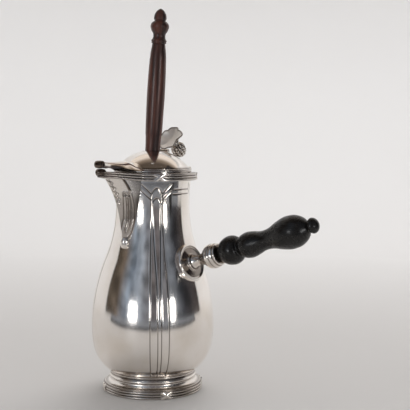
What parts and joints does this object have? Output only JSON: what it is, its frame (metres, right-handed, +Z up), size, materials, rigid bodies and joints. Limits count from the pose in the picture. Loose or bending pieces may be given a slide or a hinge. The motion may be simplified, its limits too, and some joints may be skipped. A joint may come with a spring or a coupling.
{
  "type": "chocolate pot",
  "caption": "Side-handled chocolate pot: pear-shaped silver body on a stepped foot, beak spout, hinged lid with a flip-up finial over the hole for a turned wooden stirrer.",
  "frame": {"origin": "centre of the circle that the foot stands on", "axes": "+Z up, -Y along the spout, +X along the side handle, +Y to the lid hinge"},
  "size_m": [0.1987, 0.1139, 0.2984],
  "materials": {
    "silver": "polished silver",
    "dark_wood": "blackened hardwood, satin",
    "red_wood": "dark turned rosewood, polished"
  },
  "bodies": {
    "pot": {"vessel_body": "silver", "spout": "silver", "spout_drop": "silver", "foot": "silver", "foot_rim": "silver", "foot_tie_1": "silver", "foot_tie_2": "silver", "foot_tie_3": "silver", "foot_tie_4": "silver", "rim_moulding": "silver", "rim_tie_1": "silver", "rim_tie_2": "silver", "rim_tie_3": "silver", "rim_tie_4": "silver", "handle_boss": "silver", "handle_socket": "silver", "handle_grip": "dark_wood", "handle_pin": "silver", "hinge_bracket": "silver", "hinge_pin": "silver"},
    "lid": {"lid_dome": "silver", "lid_edge": "silver", "lid_bezel": "silver", "hole_collar": "silver", "lid_beak": "silver", "lid_knuckle": "silver", "cap_lugs": "silver", "cap_pin": "silver"},
    "finial": {"finial_cap": "silver", "finial_calyx": "silver", "finial_bud": "silver"},
    "stirrer": {"stirrer_rod": "red_wood", "stirrer_head": "red_wood"}
  },
  "joints": [
    {"name": "lid_open", "type": "hinge", "parent": "pot", "child": "lid", "pos_m": [0, 0.03735, 0.1736], "axis": [-1, 0, 0], "range_deg": [0, 95]},
    {"name": "finial_open", "type": "hinge", "parent": "lid", "child": "finial", "pos_m": [0, 0.0133, 0.18887], "axis": [-1, 0, 0], "range_deg": [-48, 0]},
    {"name": "stirrer_lift", "type": "slide", "parent": "lid", "child": "stirrer", "axis": [0.0936, -0.0207, 0.9954], "range_m": [0, 0.464]}
  ],
  "couplings": [
    {"joint": "lid_open", "follows": "stirrer_lift", "rad_per_m": 3.5714}
  ]
}
